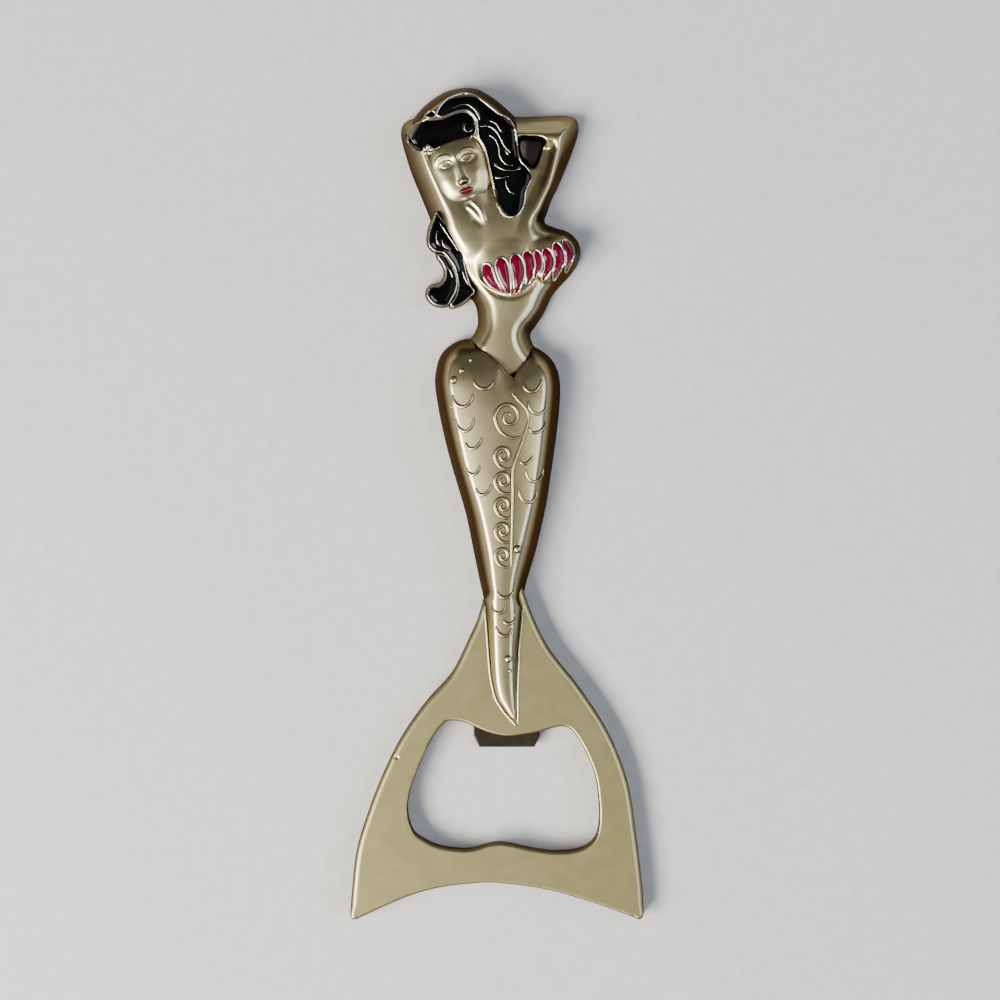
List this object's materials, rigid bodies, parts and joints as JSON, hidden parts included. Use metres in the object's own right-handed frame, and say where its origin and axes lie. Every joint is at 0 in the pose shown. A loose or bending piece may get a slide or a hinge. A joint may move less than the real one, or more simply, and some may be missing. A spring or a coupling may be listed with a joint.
{
  "type": "souvenir bottle opener",
  "caption": "Cast metal bottle opener shaped as a reclining mermaid in relief, with enamel hair and shells, a crown-cap opening in the tail fluke and a steel lip.",
  "frame": {"origin": "middle of the outline, on the flat back", "axes": "+Z out of the relief, +Y towards the head, +X to the figure's left as it is looked at from the front"},
  "size_m": [0.0528, 0.1495, 0.0092],
  "materials": {
    "satin_nickel": "satin nickel plate over zinc die casting, the fluke finely bead blasted",
    "dark_steel": "dull dark stamped steel",
    "black_enamel": "glossy black enamel",
    "crimson_enamel": "glossy crimson enamel",
    "rose_enamel": "glossy rose enamel"
  },
  "bodies": {
    "root": {"cast_body": "satin_nickel", "lip_insert": "dark_steel", "hair_crown_enamel": "black_enamel", "hair_fringe_enamel": "black_enamel", "hair_fringe_curl_enamel": "black_enamel", "lock_inner_enamel": "black_enamel", "lock_curl_enamel": "black_enamel", "flower_enamel": "rose_enamel", "lips_enamel": "crimson_enamel", "shell_enamel_1": "crimson_enamel", "shell_enamel_2": "crimson_enamel", "shell_enamel_3": "crimson_enamel", "shell_enamel_4": "crimson_enamel", "shell_enamel_5": "crimson_enamel", "shell_enamel_6": "crimson_enamel", "shell_enamel_7": "crimson_enamel", "shell_enamel_8": "crimson_enamel"}
  },
  "joints": []
}
